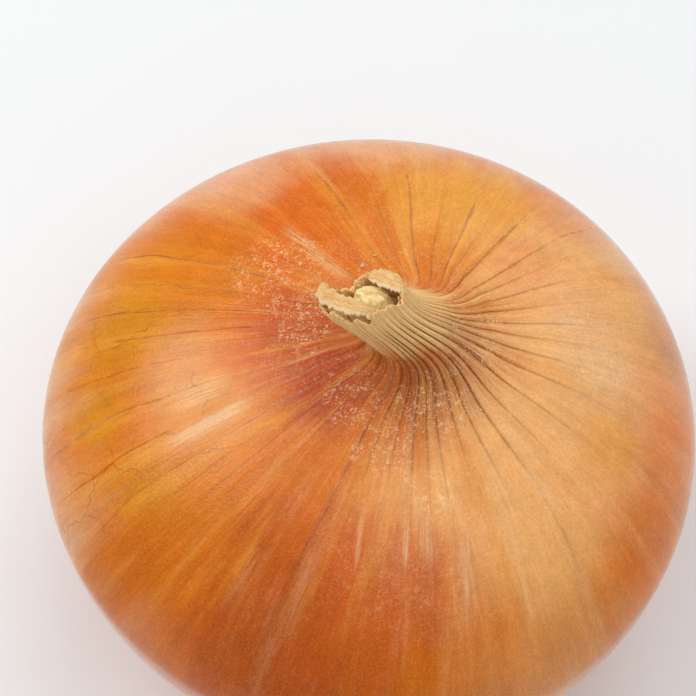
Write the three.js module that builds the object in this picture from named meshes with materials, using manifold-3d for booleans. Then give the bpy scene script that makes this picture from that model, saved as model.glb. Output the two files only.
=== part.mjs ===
// A yellow onion standing on its root plate: a squat bulb whose dry skin is drawn up into a leaning, torn neck.
// Millimetres, +Z up. The origin is on the surface that the onion stands on, below the middle of the bulb.
import * as THREE from "three";
import { mergeVertices } from "three/addons/utils/BufferGeometryUtils.js";
import Module from "manifold-3d";

const wasm = await Module();
wasm.setup();

// Driving dimensions of the bulb. The crown is off to one side of the foot.
const BULB_RADIUS = 45;
const EQUATOR = 40;
const CROWN = 62.5;
const CROWN_SHIFT = new THREE.Vector2(5.2, 2.8);
const UNDERSIDE = 2.8;
const FOOT_RADIUS = 9.6;

// Driving dimensions of the neck, a tube of dry skin that leans over and is torn off.
const NECK_LENGTH = 13.5;
const NECK_RADIUS = 5.2;
const RIM_CENTRE = new THREE.Vector3(-1.4, 2.3, 74.0);
const RIM_FACING = new THREE.Vector3(-0.12, 0.52, 0.85).normalize();
const COLLAR_WALL = 0.95;
const CUP_DEPTH = 4.2;

// The torn rim's outline as degrees round the neck and radius. It is pinched in at the back left.
const RIM_OUTLINE = [
  [-165, 5.5],
  [-140, 5.4],
  [-112, 5.2],
  [-90, 5.7],
  [-70, 5.4],
  [-45, 4.8],
  [-10, 5.5],
  [20, 6.1],
  [52, 6.5],
  [80, 6.1],
  [100, 4.1],
  [122, 3.4],
  [145, 3.7],
  [168, 5.1],
];

// The skin is gathered into pleats between its veins, deep at the neck and gone half way down the bulb. The veins are
// unevenly spaced: these are their places in degrees round the bulb.
const VEINS = [
  -3, 5, 12, 20, 28, 35, 41, 52, 60, 66, 76, 87, 98, 109, 118, 129, 140, 150, 158, 165, 172, 180, 190, 199, 208, 219,
  229, 238, 248, 256, 265, 274, 281, 287, 297, 306, 315, 325, 336, 348,
];
const PLEATS = VEINS.length;
const PLEAT_DEPTH = 0.42;
const PLEAT_FULL_RADIUS = 9;
const PLEAT_END_RADIUS = 27;
const STEPS_PER_PLEAT = 4;

// The dry inner leaves that show inside the torn collar.
const CORE_RADIUS = 2.1;
const CORE_STEPS = 40;
const CORE_FOLDS = 10;
const GAP = 0.3;

// The root plate and its short dry roots.
const PLATE_RADIUS = 8.6;
const ROOT_COUNT = 32;
const ROOT_SIDES = 5;
const ROOT_SEED = 11;

const UP = new THREE.Vector3(0, 0, 1);
const TURN = 2 * Math.PI;

const clamp01 = (x) => Math.min(1, Math.max(0, x));
const ease = (x) => clamp01(x) ** 2 * (3 - 2 * clamp01(x));

// A repeatable draw between 0 and 1 for the k-th number of the stream called seed.
function draw(seed, k) {
  const x = Math.sin(seed * 127.1 + k * 311.7) * 43758.5453;
  return x - Math.floor(x);
}

// The line that the rings of the skin are threaded on: upright through the bulb, drifting to the crown's side, then
// bending over along the neck.
const drift = (s) => CROWN_SHIFT.clone().multiplyScalar(clamp01((s - EQUATOR) / (CROWN - EQUATOR)) ** 2);
const neckLine = new THREE.CubicBezierCurve3(
  new THREE.Vector3(CROWN_SHIFT.x, CROWN_SHIFT.y, CROWN),
  new THREE.Vector3(8.0, 2.6, 66.3),
  new THREE.Vector3(-0.2, 1.2, 69.8),
  RIM_CENTRE,
);

// The centre and the two directions of the ring at height s along that line.
function ringFrame(s) {
  const u = (s - CROWN) / NECK_LENGTH;
  const { x, y } = drift(s);
  const centre = u <= 0 ? new THREE.Vector3(x, y, s) : neckLine.getPoint(Math.min(u, 1));
  if (u > 1) centre.addScaledVector(RIM_FACING, s - CROWN - NECK_LENGTH);
  const facing = UP.clone().lerp(RIM_FACING, ease(u)).normalize();
  const across = new THREE.Vector3(1, 0, 0).addScaledVector(facing, -facing.x).normalize();
  return { centre, facing, across, along: facing.clone().cross(across) };
}

function onRing(s, radius, angle) {
  const { centre, across, along } = ringFrame(s);
  return centre
    .addScaledVector(across, radius * Math.cos(angle))
    .addScaledVector(along, radius * Math.sin(angle));
}

// Pleat k lies between vein k and the next one.
const veinAngle = (k) => THREE.MathUtils.degToRad(VEINS[k]);

// The angles of a ring with the same number of points in each pleat, and each point's place in its pleat.
function ringAngles(stepsPerPleat) {
  const found = [];
  for (let k = 0; k < PLEATS; k++) {
    const next = k + 1 < PLEATS ? veinAngle(k + 1) : veinAngle(0) + TURN;
    for (let j = 0; j < stepsPerPleat; j++) {
      const place = j / stepsPerPleat;
      found.push({ angle: THREE.MathUtils.lerp(veinAngle(k), next, place), pleat: k, place });
    }
  }
  return found;
}

// How far the skin sinks towards a vein: nothing on a pleat's crest, most in the crease between two.
function pleatSink(radius, pleat, place) {
  const share = ease((PLEAT_END_RADIUS - radius) / (PLEAT_END_RADIUS - PLEAT_FULL_RADIUS));
  return PLEAT_DEPTH * share * (0.55 + 0.45 * draw(3, pleat)) * (1 - Math.abs(Math.sin(Math.PI * place)));
}

// The bulb isn't quite round: low lobes that fade towards the foot and the neck.
function lobes(radius, angle) {
  const share = ease(radius / BULB_RADIUS);
  return 1 + share * (0.0046 * Math.cos(2 * angle + 1.27) + 0.0031 * Math.cos(3 * angle + 3.5));
}

// The skin's meridian as curves of (radius, height along the line), from the foot to the neck.
const bend = (...points) => new THREE.CubicBezierCurve(...points.map(([r, s]) => new THREE.Vector2(r, s)));
const LOWER = bend([FOOT_RADIUS, UNDERSIDE], [24, 3.2], [BULB_RADIUS, 17.5], [BULB_RADIUS, EQUATOR]);
const UPPER = bend([BULB_RADIUS, EQUATOR], [BULB_RADIUS, 46.7], [36.9, 55.4], [19, 60.1]);
const FLARE = bend([19, 60.1], [12.4, 61.8], [7.2, 63.2], [6.0, 67.5]);
const FLARE_TOP = 67.5;
const RIM = CROWN + NECK_LENGTH;

// How near an angle is to a place on the rim: 1 there, falling to 0 at the width to either side. All in degrees.
function nearness(angle, place, width) {
  const turned = THREE.MathUtils.euclideanModulo(THREE.MathUtils.radToDeg(angle) - place + 180, 360) - 180;
  return ease(1 - Math.abs(turned) / width);
}

// The rim's outer radius at an angle, eased from one point of its outline to the next.
function rimRadius(angle) {
  const turned = THREE.MathUtils.euclideanModulo(THREE.MathUtils.radToDeg(angle) - RIM_OUTLINE[0][0], 360);
  const places = [...RIM_OUTLINE, [RIM_OUTLINE[0][0] + 360, RIM_OUTLINE[0][1]]].map(([d, r]) => [
    d - RIM_OUTLINE[0][0],
    r,
  ]);
  const next = Math.max(1, places.findIndex(([d]) => d > turned));
  const [from, to] = [places[next - 1], places[next]];
  return THREE.MathUtils.lerp(from[1], to[1], ease((turned - from[0]) / (to[0] - from[0])));
}

// The torn rim's height at an angle. It is lowest under the torn strap, which leaves slits there.
const rimHeight = (angle) =>
  RIM +
  0.3 * Math.sin(5 * angle + 0.4) +
  0.22 * Math.sin(11 * angle + 1.9) -
  0.9 * nearness(angle, -150, 15) -
  0.9 * nearness(angle, -108, 14) -
  0.8 * nearness(angle, -82, 12);

// One ring of the skin from a point of the meridian.
function skinRing(stepsPerPleat, radius, s) {
  return ringAngles(stepsPerPleat).map(({ angle, pleat, place }) =>
    onRing(s, radius * lobes(radius, angle) - pleatSink(radius, pleat, place), angle),
  );
}

// One ring of the neck: share runs from 0, where the flare ends, to 1 at the torn rim.
function neckRing(share) {
  return ringAngles(STEPS_PER_PLEAT).map(({ angle, pleat, place }) => {
    const middle = THREE.MathUtils.lerp(FLARE.v3.x, NECK_RADIUS, ease(2 * share));
    const radius = THREE.MathUtils.lerp(middle, rimRadius(angle), share ** 1.4);
    const s = THREE.MathUtils.lerp(FLARE_TOP, rimHeight(angle), share);
    return onRing(s, radius - (1 - 0.5 * share) * pleatSink(radius, pleat, place), angle);
  });
}

// One ring of the collar's inside: share runs from 0 at the rim to 1 at the cup's floor.
function cupRing(share) {
  return ringAngles(STEPS_PER_PLEAT / 2).map(({ angle }) => {
    const radius = THREE.MathUtils.lerp(rimRadius(angle) - COLLAR_WALL, NECK_RADIUS - 1.5, 0.9 * share);
    return onRing(THREE.MathUtils.lerp(rimHeight(angle) - 0.1, RIM - CUP_DEPTH, share), radius, angle);
  });
}

// A closed surface through rings of points, with a point at each end. A ring may have half or twice its neighbour's points.
function closedSurface(first, rings, last) {
  const points = [first, ...rings.flat(), last];
  const starts = rings.map((_, i) => 1 + rings.slice(0, i).reduce((n, ring) => n + ring.length, 0));
  const triangles = [];
  const fan = (tip, start, count, outward) => {
    for (let j = 0; j < count; j++) {
      const [a, b] = [start + j, start + ((j + 1) % count)];
      triangles.push(...(outward ? [tip, b, a] : [tip, a, b]));
    }
  };
  fan(0, starts[0], rings[0].length, true);
  for (let i = 0; i + 1 < rings.length; i++) {
    const [low, high] = [rings[i].length, rings[i + 1].length];
    const count = Math.max(low, high);
    const at = (start, length, j) => start + (Math.floor((j * length) / count) % length);
    for (let j = 0; j < count; j++) {
      const [a, b] = [at(starts[i], low, j), at(starts[i], low, j + 1)];
      const [c, d] = [at(starts[i + 1], high, j + 1), at(starts[i + 1], high, j)];
      if (a !== b) triangles.push(a, b, c);
      if (c !== d) triangles.push(a, c, d);
    }
  }
  fan(points.length - 1, starts.at(-1), rings.at(-1).length, false);
  const geometry = new THREE.BufferGeometry().setFromPoints(points);
  geometry.setIndex(triangles);
  return geometry;
}

function solidOf(geometry) {
  geometry.deleteAttribute("normal");
  geometry.deleteAttribute("uv");
  const merged = mergeVertices(geometry, 1e-4);
  return new wasm.Manifold(
    new wasm.Mesh({
      numProp: 3,
      vertProperties: merged.attributes.position.array,
      triVerts: new Uint32Array(merged.index.array),
    }),
  );
}

function geometryOf(solid) {
  const { vertProperties, triVerts } = solid.getMesh();
  const geometry = new THREE.BufferGeometry();
  geometry.setAttribute("position", new THREE.BufferAttribute(vertProperties, 3));
  geometry.setIndex(new THREE.BufferAttribute(triVerts, 1));
  geometry.computeVertexNormals();
  return geometry;
}

// The shares of a curve at which it gets a ring, ends left out.
const shares = (count) => Array.from({ length: count }, (_, i) => (i + 1) / (count + 1));

// The bulb and its neck as one grown skin, from the foot up to the rim and down into the torn collar.
function skin() {
  const body = (curve, t, steps) => {
    const { x, y } = curve.getPoint(t);
    return skinRing(steps, x, y);
  };
  const rings = [
    ...[0, ...shares(11)].map((t) => body(LOWER, t, STEPS_PER_PLEAT / 2)),
    ...[0, 0.1, 0.2, 0.3, 0.39, 0.48].map((t) => body(UPPER, t, STEPS_PER_PLEAT / 2)),
    ...[0.57, 0.67, 0.78, 0.89].map((t) => body(UPPER, t, STEPS_PER_PLEAT)),
    ...[0, ...shares(6)].map((t) => body(FLARE, t, STEPS_PER_PLEAT)),
    ...[0, 0.25, 0.5, 0.75, 1].map(neckRing),
    ...[0, 0.5, 1].map(cupRing),
  ];
  return closedSurface(ringFrame(UNDERSIDE).centre, rings, ringFrame(RIM - CUP_DEPTH).centre);
}

// A point over the torn rim, by its place in the rim's plane and its height above it.
function overRim(x, y, height) {
  const { centre, facing, across, along } = ringFrame(RIM);
  return centre.addScaledVector(across, x).addScaledVector(along, y).addScaledVector(facing, height);
}

// A piece of torn skin between two edges, a little arched between them.
function tornSheet(firstEdge, secondEdge, thickness, arch, steps) {
  const [first, second] = [firstEdge, secondEdge].map((edge) => new THREE.CatmullRomCurve3(edge));
  const rings = [];
  for (let i = 0; i <= steps; i++) {
    const [a, b] = [first.getPoint(i / steps), second.getPoint(i / steps)];
    const tangent = first.getTangent(i / steps).add(second.getTangent(i / steps));
    const out = tangent.cross(b.clone().sub(a)).normalize();
    const middle = a.clone().lerp(b, 0.5).addScaledVector(out, arch);
    const [low, high] = [-thickness / 2, thickness / 2].map((lift) =>
      [a, middle, b].map((point) => point.clone().addScaledVector(out, lift)),
    );
    rings.push([...low, ...high.reverse()]);
  }
  const centreOf = (ring) =>
    ring.reduce((sum, point) => sum.add(point), new THREE.Vector3()).divideScalar(ring.length);
  return closedSurface(centreOf(rings[0]), rings, centreOf(rings.at(-1)));
}

// The fold of the collar that was torn loose and lies across the front of the opening.
function tornStrap() {
  const front = [
    overRim(-5.7, -0.3, 0.6),
    overRim(-4.6, -2.1, 0.4),
    overRim(-3.2, -3.4, 0.3),
    overRim(-1.6, -4.5, 0.2),
    overRim(0.0, -5.0, 0.0),
    overRim(1.4, -4.6, -0.8),
  ];
  const back = [
    overRim(-4.8, 1.7, 1.4),
    overRim(-3.4, 0.1, 1.3),
    overRim(-2.1, -1.4, 1.2),
    overRim(-0.6, -2.6, 1.0),
    overRim(0.9, -3.3, 0.5),
    overRim(2.3, -3.5, -0.6),
  ];
  return tornSheet(front, back, 0.7, 0.2, 12);
}

// The flap of skin that folds in over the back of the opening.
function curledFlap() {
  const free = [
    overRim(0.9, 3.6, 0.3),
    overRim(1.5, 2.2, 0.5),
    overRim(2.5, 0.9, 0.55),
    overRim(3.7, 0.2, 0.5),
    overRim(4.8, -0.1, 0.2),
    overRim(5.3, -0.4, -0.2),
  ];
  const fold = [
    overRim(0.9, 5.4, -0.2),
    overRim(1.5, 5.3, 0.4),
    overRim(2.8, 5.0, 0.7),
    overRim(4.1, 4.0, 0.7),
    overRim(5.1, 2.2, 0.6),
    overRim(5.6, 0.6, -0.1),
  ];
  return tornSheet(free, fold, 0.6, 0.25, 10);
}

// The dry ends of the inner leaves: a wrinkled stump that stands in the collar, nearer its back than its front.
function innerLeaves() {
  const middle = (depth, x, y) => {
    const { centre, across, along } = ringFrame(RIM - depth);
    return centre.addScaledVector(across, x).addScaledVector(along, y);
  };
  const ring = ([depth, share, fold, x, y]) =>
    Array.from({ length: CORE_STEPS }, (_, j) => {
      const angle = (TURN * j) / CORE_STEPS;
      const sink = fold * Math.abs(Math.sin((CORE_FOLDS * angle) / 2 + 0.4 * Math.sin(3 * angle)));
      const radius = share * (1 - sink) * CORE_RADIUS;
      const { across, along } = ringFrame(RIM - depth);
      return middle(depth, x, y)
        .addScaledVector(across, radius * Math.cos(angle))
        .addScaledVector(along, radius * Math.sin(angle));
    });
  const foot = CUP_DEPTH - GAP;
  const rings = [
    [foot, 0.9, 0, 0.3, 0.2],
    [3.1, 0.97, 0.06, 0.4, 0.4],
    [2.3, 1, 0.1, 0.5, 0.6],
    [1.5, 1, 0.12, 0.5, 0.7],
    [0.85, 0.88, 0.12, 0.5, 0.7],
    [0.45, 0.58, 0.1, 0.5, 0.7],
  ].map(ring);
  return closedSurface(middle(foot, 0.3, 0.2), rings, middle(0.3, 0.5, 0.7));
}

// One dry root: a tapered, drooping stub that starts inside the plate.
function root(k) {
  const angle = (TURN * (k + 0.7 * draw(ROOT_SEED, k))) / ROOT_COUNT;
  const reach = 12.5 + 6 * draw(ROOT_SEED, 100 + k);
  const swerve = 0.5 * (draw(ROOT_SEED, 200 + k) - 0.5);
  const thick = 0.42 + 0.16 * draw(ROOT_SEED, 300 + k);
  const start = 1.0 + 0.7 * (k % 2);
  const at = (radius, turn, z) =>
    new THREE.Vector3(radius * Math.cos(angle + turn), radius * Math.sin(angle + turn), z);
  const path = new THREE.CatmullRomCurve3([
    at(6, 0, start),
    at(9.2, 0, start + 0.1),
    at(0.5 * (9.2 + reach), 0.4 * swerve, 0.5 * start + 0.55),
    at(reach, swerve, 0.45),
  ]);
  const steps = 4;
  const rings = [];
  for (let i = 0; i <= steps; i++) {
    const t = i / steps;
    const tangent = path.getTangent(t);
    const across = UP.clone().cross(tangent).normalize();
    const out = tangent.clone().cross(across);
    const radius = thick * (1 - 0.45 * t);
    rings.push(
      Array.from({ length: ROOT_SIDES }, (_, j) => {
        const turn = (TURN * (j + 0.5 * (i % 2))) / ROOT_SIDES;
        return path
          .getPoint(t)
          .addScaledVector(across, radius * Math.cos(turn))
          .addScaledVector(out, radius * Math.sin(turn));
      }),
    );
  }
  return closedSurface(path.getPoint(0), rings, path.getPoint(1));
}

// The root plate: a low button with a flat underside, cut off square by the grower.
function plate() {
  const rise = UNDERSIDE - GAP;
  const outline = [
    [0, 0],
    [PLATE_RADIUS - 0.8, 0],
    [PLATE_RADIUS, 0.7],
    [PLATE_RADIUS + 0.3, rise - 0.5],
    [PLATE_RADIUS - 0.1, rise],
    [0, rise],
  ].map(([r, z]) => new THREE.Vector2(r, z));
  return new THREE.LatheGeometry(outline, 40).rotateX(Math.PI / 2);
}

function piece(name, solid, color, roughness) {
  const mesh = new THREE.Mesh(geometryOf(solid), new THREE.MeshStandardMaterial({ color, roughness }));
  mesh.name = name;
  return mesh;
}

const bulb = solidOf(skin()).add(solidOf(tornStrap())).add(solidOf(curledFlap()));
const roots = Array.from({ length: ROOT_COUNT }, (_, k) => solidOf(root(k)));
const rootTuft = roots.reduce((whole, one) => whole.add(one), solidOf(plate()));

const onion = new THREE.Group();
onion.add(
  piece("bulb", bulb, 0xd9822b, 0.45),
  piece("neck_core", solidOf(innerLeaves()), 0xd9c27a, 0.8),
  piece("root_tuft", rootTuft, 0x8a6a42, 0.9),
);

// The lobes leave the bulb a little to one side, so the whole onion is moved back over the origin.
const middle = new THREE.Box3().setFromObject(onion, true).getCenter(new THREE.Vector3());
onion.position.set(-middle.x, -middle.y, 0);

export default onion;
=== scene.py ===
# A yellow onion standing on a pale table, seen from above its front: the dry skin, the torn neck and the roots.
# Shapes are worked out in millimetres, in the frame of the part, and turned into metres when a mesh is made.
import math

import bmesh
import bpy
import numpy as np
from mathutils import Matrix, Vector


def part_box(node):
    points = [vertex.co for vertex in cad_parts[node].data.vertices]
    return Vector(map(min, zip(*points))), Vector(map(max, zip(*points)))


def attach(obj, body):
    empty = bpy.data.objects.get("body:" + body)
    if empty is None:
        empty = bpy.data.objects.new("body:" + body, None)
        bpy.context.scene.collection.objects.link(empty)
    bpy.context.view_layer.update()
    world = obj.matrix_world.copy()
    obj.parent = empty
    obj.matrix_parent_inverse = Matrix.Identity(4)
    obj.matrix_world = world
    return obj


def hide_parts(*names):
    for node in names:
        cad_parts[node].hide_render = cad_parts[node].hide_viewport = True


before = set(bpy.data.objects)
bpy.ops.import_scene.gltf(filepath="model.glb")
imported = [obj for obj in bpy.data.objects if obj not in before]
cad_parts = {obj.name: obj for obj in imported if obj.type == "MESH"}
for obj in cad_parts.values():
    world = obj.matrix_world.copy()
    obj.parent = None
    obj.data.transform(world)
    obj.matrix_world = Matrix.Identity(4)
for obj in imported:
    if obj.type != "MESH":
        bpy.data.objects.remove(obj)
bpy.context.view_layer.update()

MM = 0.001
TURN = 2 * math.pi
UP = np.array([0.0, 0.0, 1.0])

# The bulb.
BULB_RADIUS = 45.0
EQUATOR = 40.0
CROWN = 62.5
CROWN_SHIFT = np.array([5.2, 2.8])
UNDERSIDE = 2.8
FOOT_RADIUS = 9.6

# The neck.
NECK_LENGTH = 13.5
NECK_RADIUS = 5.2
RIM_CENTRE = np.array([-1.4, 2.3, 74.0])
RIM_FACING = np.array([-0.12, 0.52, 0.85]) / np.linalg.norm([-0.12, 0.52, 0.85])
RIM = CROWN + NECK_LENGTH
FLARE_TOP = 67.5
CUP_DEPTH = 4.2
SKIN_WALL = 0.42

# The torn rim's outline as degrees round the neck and radius.
RIM_OUTLINE = [
    (-165, 5.5), (-140, 5.4), (-112, 5.2), (-90, 5.7), (-70, 5.4), (-45, 4.8), (-10, 5.5),
    (20, 6.1), (52, 6.5), (80, 6.1), (100, 4.1), (122, 3.4), (145, 3.7), (168, 5.1),
]

# The veins' places in degrees round the bulb. The skin is gathered into pleats between them.
VEINS = np.array([
    -3, 5, 12, 20, 28, 35, 41, 52, 60, 66, 76, 87, 98, 109, 118, 129, 140, 150, 158, 165,
    172, 180, 190, 199, 208, 219, 229, 238, 248, 256, 265, 274, 281, 287, 297, 306, 315, 325, 336, 348,
])
PLEATS = len(VEINS)
PLEAT_DEPTH = 0.42
PLEAT_FULL_RADIUS = 9.0
PLEAT_END_RADIUS = 27.0
STEPS_PER_PLEAT = 12

# The veins that show most: how strongly each shows, and from which to which radius. The others are faint.
CLEAR_VEINS = {
    -3: (0.5, 8, 26), 12: (0.7, 8, 25), 20: (0.3, 8, 20), 28: (0.8, 9, 25), 41: (0.8, 6, 37), 52: (1.0, 9, 31),
    66: (1.0, 9, 29), 76: (0.3, 8, 16), 87: (0.8, 9, 33), 98: (0.5, 16, 31), 109: (0.8, 22, 33), 129: (0.3, 26, 36),
    150: (0.8, 20, 46), 165: (0.8, 18, 42), 172: (0.8, 19, 43), 180: (0.7, 28, 43), 190: (0.7, 30, 45),
    199: (0.7, 30, 44), 208: (0.5, 30, 44), 248: (0.8, 13, 32), 265: (0.4, 9, 16), 274: (0.5, 9, 22),
    287: (0.4, 8, 24), 297: (0.4, 8, 20), 306: (0.4, 8, 22), 315: (0.8, 8, 35), 325: (0.5, 8, 24),
    336: (0.6, 8, 26), 348: (0.7, 8, 28),
}


# Numbers and noise.

def clamp01(x):
    return np.clip(x, 0.0, 1.0)


def ease(x):
    x = clamp01(x)
    return x * x * (3 - 2 * x)


def lerp(a, b, share):
    return a + (b - a) * share


def unit(vectors):
    return vectors / np.linalg.norm(vectors, axis=-1, keepdims=True)


def draw(seed, k):
    """A repeatable draw between 0 and 1 for the k-th number of the stream called seed."""
    x = np.sin(seed * 127.1 + np.asarray(k, float) * 311.7) * 43758.5453
    return x - np.floor(x)


def lattice(i, j, seed):
    x = np.sin(i * 127.1 + j * 311.7 + seed * 74.7) * 43758.5453
    return x - np.floor(x)


def waver(x, y, seed, period=None):
    """Smooth noise from -1 to 1 over x and y, which repeats in x after period cells."""
    x, y = np.broadcast_arrays(np.asarray(x, float), np.asarray(y, float))
    i, j = np.floor(x), np.floor(y)
    near, far = (np.mod(i, period), np.mod(i + 1, period)) if period else (i, i + 1)
    across, along = ease(x - i), ease(y - j)
    low = lerp(lattice(near, j, seed), lattice(far, j, seed), across)
    high = lerp(lattice(near, j + 1, seed), lattice(far, j + 1, seed), across)
    return 2 * lerp(low, high, along) - 1


def bezier(points, t):
    t = np.asarray(t, float)[..., None]
    a, b, c, d = [np.asarray(point, float) for point in points]
    return (1 - t) ** 3 * a + 3 * (1 - t) ** 2 * t * b + 3 * (1 - t) * t**2 * c + t**3 * d


def through(points, t):
    """A smooth curve through the points, for t from 0 to 1."""
    points = np.asarray(points, float)
    padded = np.vstack([2 * points[0] - points[1], points, 2 * points[-1] - points[-2]])
    place = clamp01(np.asarray(t, float)) * (len(points) - 1)
    i = np.minimum(place.astype(int), len(points) - 2)
    f = (place - i)[..., None]
    a, b, c, d = padded[i], padded[i + 1], padded[i + 2], padded[i + 3]
    return 0.5 * (2 * b + (c - a) * f + (2 * a - 5 * b + 4 * c - d) * f**2 + (3 * b - 3 * c + d - a) * f**3)


def nearness(degrees, place, width):
    """1 at the place on a ring, falling to 0 at the width to either side."""
    apart = np.mod(np.asarray(degrees, float) - place + 180, 360) - 180
    return ease(1 - np.abs(apart) / width)


# The line that the skin's rings are threaded on.

NECK_LINE = [(CROWN_SHIFT[0], CROWN_SHIFT[1], CROWN), (8.0, 2.6, 66.3), (-0.2, 1.2, 69.8), RIM_CENTRE]


def ring_frame(s):
    """The centre and the three directions of the ring at height s along the line."""
    s = np.asarray(s, float)
    u = (s - CROWN) / NECK_LENGTH
    drift = clamp01((s - EQUATOR) / (CROWN - EQUATOR))[..., None] ** 2 * CROWN_SHIFT
    upright = np.concatenate([drift, s[..., None]], axis=-1)
    beyond = np.maximum(s - RIM, 0)[..., None]
    bent = bezier(NECK_LINE, clamp01(u)) + beyond * RIM_FACING
    centre = np.where((u <= 0)[..., None], upright, bent)
    facing = unit(lerp(UP, RIM_FACING, ease(u)[..., None]))
    across = unit(np.array([1.0, 0.0, 0.0]) - facing * facing[..., :1])
    return centre, across, np.cross(facing, across), facing


def on_ring(s, radius, angle):
    s, radius, angle = np.broadcast_arrays(s, radius, angle)
    centre, across, along, _ = ring_frame(s)
    return centre + (radius * np.cos(angle))[..., None] * across + (radius * np.sin(angle))[..., None] * along


def over_rim(x, y, height):
    """A point over the torn rim, by its place in the rim's plane and its height above it."""
    centre, across, along, facing = ring_frame(RIM)
    return centre + x * across + y * along + height * facing


# The columns of points round the skin, each in its place in a pleat.

column = np.arange(PLEATS * STEPS_PER_PLEAT)
pleat = column // STEPS_PER_PLEAT
place_in_pleat = (column % STEPS_PER_PLEAT) / STEPS_PER_PLEAT
vein_ends = np.append(VEINS, VEINS[0] + 360)
degrees = lerp(vein_ends[pleat], vein_ends[pleat + 1], place_in_pleat)
angles = np.radians(degrees)
turns = pleat + place_in_pleat


def pleat_sink(radius, height):
    """How far the skin sinks between the crests of its pleats. Each pleat has a small crease of its own as well."""
    share = ease((PLEAT_END_RADIUS - radius) / (PLEAT_END_RADIUS - PLEAT_FULL_RADIUS))
    depth = PLEAT_DEPTH * share * (0.6 + 0.5 * draw(3, pleat))
    bend = 0.06 * waver(turns * 0.5, height / 5, 5, PLEATS / 2)
    main = 1 - np.abs(np.sin(np.pi * (place_in_pleat + bend)))
    second = 0.3 + 0.4 * draw(7, pleat)
    apart = np.abs(place_in_pleat - second) / 0.17
    small = 0.5 * draw(9, pleat) * ease(1 - apart)
    ripple = 0.05 * share * waver(turns * 2.0, height / 1.7, 8, PLEATS * 2)
    return depth * (1.15 * main + small) + ripple


def lobes(radius):
    share = ease(radius / BULB_RADIUS)
    return 1 + share * (0.0046 * np.cos(2 * angles + 1.27) + 0.0031 * np.cos(3 * angles + 3.5))


LOWER = [(FOOT_RADIUS, UNDERSIDE), (24, 3.2), (BULB_RADIUS, 17.5), (BULB_RADIUS, EQUATOR)]
UPPER = [(BULB_RADIUS, EQUATOR), (BULB_RADIUS, 46.7), (36.9, 55.4), (19, 60.1)]
FLARE = [(19, 60.1), (12.4, 61.8), (7.2, 63.2), (6.0, FLARE_TOP)]


def rim_radius(turned):
    places = np.array([d for d, _ in RIM_OUTLINE] + [RIM_OUTLINE[0][0] + 360], float) - RIM_OUTLINE[0][0]
    radii = np.array([r for _, r in RIM_OUTLINE] + [RIM_OUTLINE[0][1]])
    turned = np.mod(turned - RIM_OUTLINE[0][0], 360)
    i = np.searchsorted(places, turned, side="right") - 1
    return lerp(radii[i], radii[i + 1], ease((turned - places[i]) / (places[i + 1] - places[i])))


def tears(seed, depth):
    """A ragged edge's height round the neck: a few torn steps with fine frayed teeth on them."""
    coarse = waver(turns * 0.7, 0.5, seed, PLEATS * 0.7)
    teeth = waver(turns * 2.5, 0.5, seed + 1, PLEATS * 2.5)
    fine = waver(turns * 6, 0.5, seed + 2, PLEATS * 6)
    return depth * (0.5 * coarse + 0.35 * teeth + 0.25 * fine)


rim_heights = (
    RIM
    + 0.3 * np.sin(5 * angles + 0.4)
    + 0.22 * np.sin(11 * angles + 1.9)
    - 0.9 * nearness(degrees, -150, 15)
    - 0.9 * nearness(degrees, -108, 14)
    - 0.8 * nearness(degrees, -82, 12)
    + tears(20, 0.55)
    - 0.2
)
rim_radii = rim_radius(degrees)


def body_ring(curve, t):
    radius, s = bezier([(*point, 0) for point in curve], t)[:2]
    return on_ring(s, radius * lobes(radius) - pleat_sink(radius, s), angles)


def neck_ring(share):
    middle = lerp(FLARE[3][0], NECK_RADIUS, ease(2 * share))
    radius = lerp(middle, rim_radii, share**1.4)
    s = lerp(FLARE_TOP, rim_heights, share)
    return on_ring(s, radius - (1 - 0.45 * share) * pleat_sink(radius, s), angles)


def inner_ring(share):
    """The inside of the collar's outer layer, from the rim at 0 to the cup's floor at 1."""
    sink = 0.55 * pleat_sink(rim_radii, rim_heights) * (1 - share)
    radius = lerp(rim_radii - SKIN_WALL, NECK_RADIUS - 1.5, 0.9 * share**1.3)
    return on_ring(lerp(rim_heights - 0.1, RIM - CUP_DEPTH, share), radius - sink, angles)


# Meshes.

def mesh_object(name, points, faces):
    """A new object in metres from points in millimetres."""
    mesh = bpy.data.meshes.new(name)
    mesh.from_pydata([tuple(p) for p in np.asarray(points) * MM], [], faces)
    mesh.validate()
    shell = bmesh.new()
    shell.from_mesh(mesh)
    bmesh.ops.recalc_face_normals(shell, faces=shell.faces)
    shell.to_mesh(mesh)
    shell.free()
    mesh.polygons.foreach_set("use_smooth", [True] * len(mesh.polygons))
    mesh.update()
    obj = bpy.data.objects.new(name, mesh)
    bpy.context.scene.collection.objects.link(obj)
    return obj


def tube_faces(rings, columns, start=0):
    """The four-sided faces between rings of points that close round."""
    faces = []
    for i in range(rings - 1):
        low = start + i * columns
        for j in range(columns):
            k = (j + 1) % columns
            faces.append((low + j, low + k, low + columns + k, low + columns + j))
    return faces


def closed_tube(rings, start=0, looped=False):
    """Points and faces of a closed surface through rings: the last joins the first, or each end has a middle point."""
    rings = np.asarray(rings)
    count, columns = rings.shape[:2]
    if looped:
        wrapped = tube_faces(count + 1, columns, start)
        return rings.reshape(-1, 3), [tuple((v - start) % (count * columns) + start for v in f) for f in wrapped]
    points = np.vstack([rings.reshape(-1, 3), rings[0].mean(0), rings[-1].mean(0)])
    faces = tube_faces(count, columns, start)
    first, last = start + count * columns, start + count * columns + 1
    top = start + (count - 1) * columns
    for j in range(columns):
        k = (j + 1) % columns
        faces.append((first, start + k, start + j))
        faces.append((last, top + j, top + k))
    return points, faces


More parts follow.
